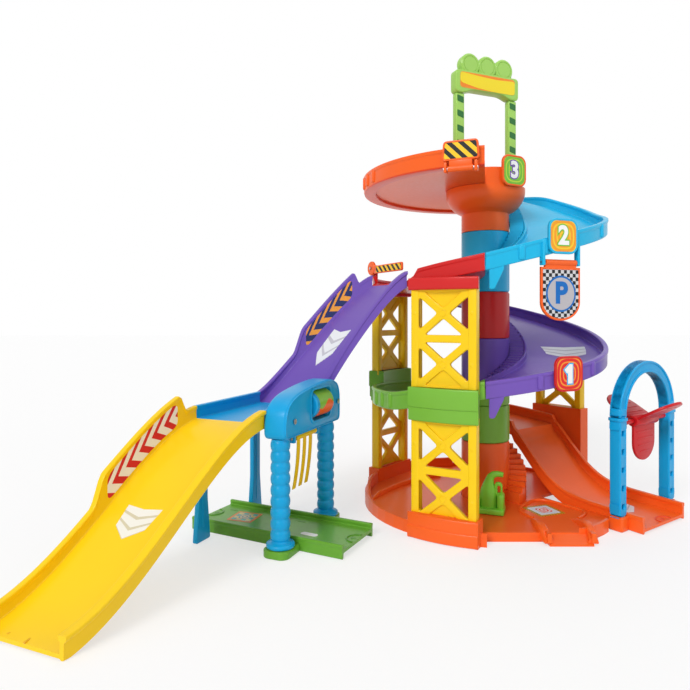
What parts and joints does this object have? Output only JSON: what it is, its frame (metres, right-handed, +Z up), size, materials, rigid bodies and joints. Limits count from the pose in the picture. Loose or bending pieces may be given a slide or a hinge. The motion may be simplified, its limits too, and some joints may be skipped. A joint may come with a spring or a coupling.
{
  "type": "toy parking garage",
  "caption": "Spiral toy car garage with a slide, an exit road under a spinner arch, and a ramp over a car-wash bridge to the floor.",
  "frame": {"origin": "on the column's axis at floor level, the middle of the column foot's underside", "axes": "+Z up along the column; -Y towards the picture's camera; the ramp to the floor runs towards -X and -Y, the exit road towards +X"},
  "size_m": [0.6171, 0.4633, 0.5185],
  "materials": {
    "orange_plastic": "smooth moulded, bright",
    "green_plastic": "smooth moulded, bright",
    "light_green_plastic": "smooth moulded, bright",
    "purple_plastic": "smooth moulded, bright",
    "red_plastic": "smooth moulded, bright",
    "blue_plastic": "smooth moulded, bright",
    "bridge_blue_plastic": "smooth moulded, bright",
    "yellow_plastic": "smooth moulded, bright",
    "spinner_red_plastic": "smooth moulded, bright",
    "steel": "plain bright steel"
  },
  "bodies": {
    "garage": {"arch_ring": "bridge_blue_plastic", "back_housing_screw": "steel", "back_lower_tower": "yellow_plastic", "back_upper_tower": "yellow_plastic", "base_deck": "orange_plastic", "blue_spiral": "blue_plastic", "bridge_deck": "bridge_blue_plastic", "column_blue_section": "blue_plastic", "column_foot": "orange_plastic", "column_green_section": "green_plastic", "column_landing_section": "green_plastic", "column_purple_section": "purple_plastic", "column_red_section": "red_plastic", "deck_bowl": "orange_plastic", "far_arch_leg": "bridge_blue_plastic", "far_back_leg": "bridge_blue_plastic", "far_front_leg": "bridge_blue_plastic", "far_sign_post": "light_green_plastic", "front_housing_screw": "steel", "front_lower_tower": "yellow_plastic", "front_upper_tower": "yellow_plastic", "fuel_pump": "light_green_plastic", "gate_arm_pin": "steel", "green_landing": "green_plastic", "green_road": "green_plastic", "level_one_badge": "orange_plastic", "level_three_badge": "orange_plastic", "level_two_badge": "orange_plastic", "near_arch_leg": "bridge_blue_plastic", "near_back_leg": "bridge_blue_plastic", "near_front_leg": "bridge_blue_plastic", "near_sign_post": "light_green_plastic", "orange_slide": "orange_plastic", "parking_sign_pin": "steel", "purple_ramp": "purple_plastic", "purple_spiral": "purple_plastic", "red_landing": "red_plastic", "roller_pin": "steel", "sign_board": "light_green_plastic", "slide_tower": "yellow_plastic", "slide_tower_socket": "orange_plastic", "strip_rail": "steel", "top_deck": "orange_plastic", "top_gate_pin": "steel", "wash_housing": "bridge_blue_plastic", "yellow_ramp": "yellow_plastic"},
    "top_gate": {"top_gate": "orange_plastic"},
    "parking_sign": {"parking_sign": "orange_plastic"},
    "gate_arm": {"gate_arm": "orange_plastic"},
    "spinner": {"spinner": "spinner_red_plastic", "spinner_axle": "spinner_red_plastic"},
    "wash_roller": {"wash_roller": "green_plastic"},
    "wash_strips": {"wash_strips": "yellow_plastic"}
  },
  "joints": [
    {"name": "top_gate_hinge", "type": "hinge", "parent": "garage", "child": "top_gate", "pos_m": [-0.05432, -0.13444, 0.357], "axis": [0.9272, -0.3746, 0], "range_deg": [0, 90]},
    {"name": "parking_sign_swing", "type": "hinge", "parent": "garage", "child": "parking_sign", "pos_m": [0.04412, -0.12122, 0.269], "axis": [0.9397, 0.342, 0], "range_deg": [-80, 15]},
    {"name": "gate_arm_lift", "type": "hinge", "parent": "garage", "child": "gate_arm", "pos_m": [-0.12891, -0.01128, 0.272], "axis": [-0.8949, -0.4462, 0], "range_deg": [0, 85]},
    {"name": "spinner_turn", "type": "hinge", "parent": "garage", "child": "spinner", "pos_m": [0.15386, -0.06202, 0.108], "axis": [0.8131, 0.5821, 0], "continuous": true},
    {"name": "wash_roller_turn", "type": "hinge", "parent": "garage", "child": "wash_roller", "pos_m": [-0.19452, -0.09447, 0.13], "axis": [-0.3907, -0.9205, 0], "continuous": true},
    {"name": "wash_strips_swing", "type": "hinge", "parent": "garage", "child": "wash_strips", "pos_m": [-0.20315, -0.10711, 0.1012], "axis": [-0.3907, -0.9205, 0], "range_deg": [-50, 50]}
  ]
}
